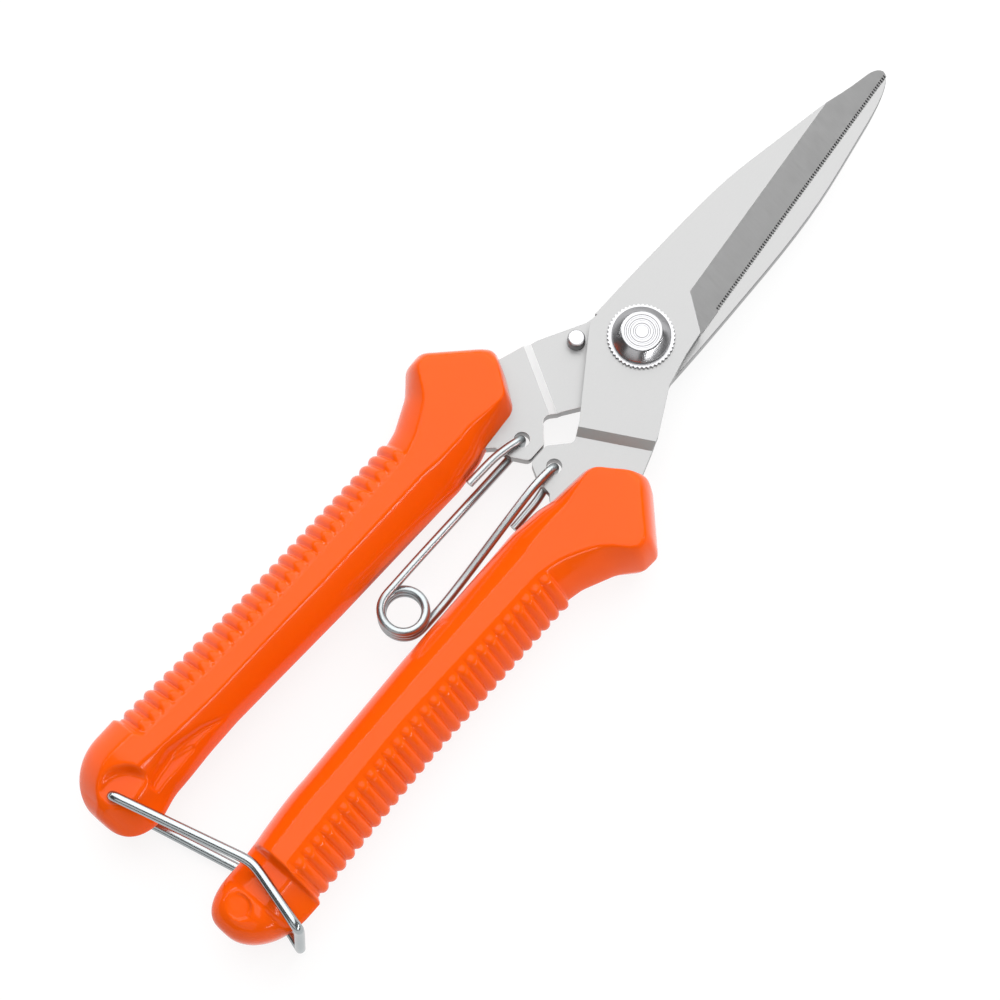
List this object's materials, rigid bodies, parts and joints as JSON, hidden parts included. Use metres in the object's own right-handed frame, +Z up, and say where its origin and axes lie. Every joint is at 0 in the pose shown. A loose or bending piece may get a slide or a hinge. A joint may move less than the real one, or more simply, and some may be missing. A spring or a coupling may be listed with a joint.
{
  "type": "floral snips",
  "caption": "Hand snips with a finely toothed leaf blade, ribbed moulded grips, a coil return spring and a wire catch that holds them shut.",
  "frame": {"origin": "middle of the whole tool's box, on the plane it lies on", "axes": "+X to the blade tips, +Z up along the pivot bolt towards its cap nut, +Y towards the left grip"},
  "size_m": [0.1954, 0.0564, 0.016],
  "materials": {
    "blade_steel": "satin",
    "pin_steel": "satin",
    "plated_steel": "polished",
    "grip_plastic": "gloss",
    "spring_wire": "polished"
  },
  "bodies": {
    "rear_frame": {"rear_blade": "blade_steel", "left_grip": "grip_plastic", "stop_pin": "pin_steel", "pivot_bolt": "pin_steel", "pivot_cap_nut": "plated_steel", "toothed_washer": "plated_steel"},
    "front_frame": {"front_blade": "blade_steel", "right_grip": "grip_plastic"},
    "spring_left_arm": {"spring_left_arm": "spring_wire"},
    "spring_right_arm": {"spring_right_arm": "spring_wire"},
    "lock_bail": {"lock_bail": "spring_wire"}
  },
  "joints": [
    {"name": "blade_pivot", "type": "hinge", "parent": "rear_frame", "child": "front_frame", "pos_m": [0.0283, 0, 0.008], "axis": [0, 0, 1], "range_deg": [0, 20]},
    {"name": "spring_left_swing", "type": "hinge", "parent": "rear_frame", "child": "spring_left_arm", "pos_m": [0.0003, 0.00375, 0.008], "axis": [0, 0, 1], "range_deg": [0, 17]},
    {"name": "spring_coil_twist", "type": "hinge", "parent": "spring_left_arm", "child": "spring_right_arm", "pos_m": [-0.0366, -0.0011, 0.008], "axis": [0, 0, 1], "range_deg": [-16, 0]},
    {"name": "bail_swing", "type": "hinge", "parent": "rear_frame", "child": "lock_bail", "pos_m": [-0.0932, 0.0137, 0.008], "axis": [0, 0, 1], "range_deg": [-101, 0]}
  ],
  "couplings": [
    {"joint": "spring_left_swing", "follows": "blade_pivot", "ratio": 0.825},
    {"joint": "spring_coil_twist", "follows": "blade_pivot", "ratio": -0.755},
    {"joint": "bail_swing", "follows": "blade_pivot", "ratio": -5}
  ]
}
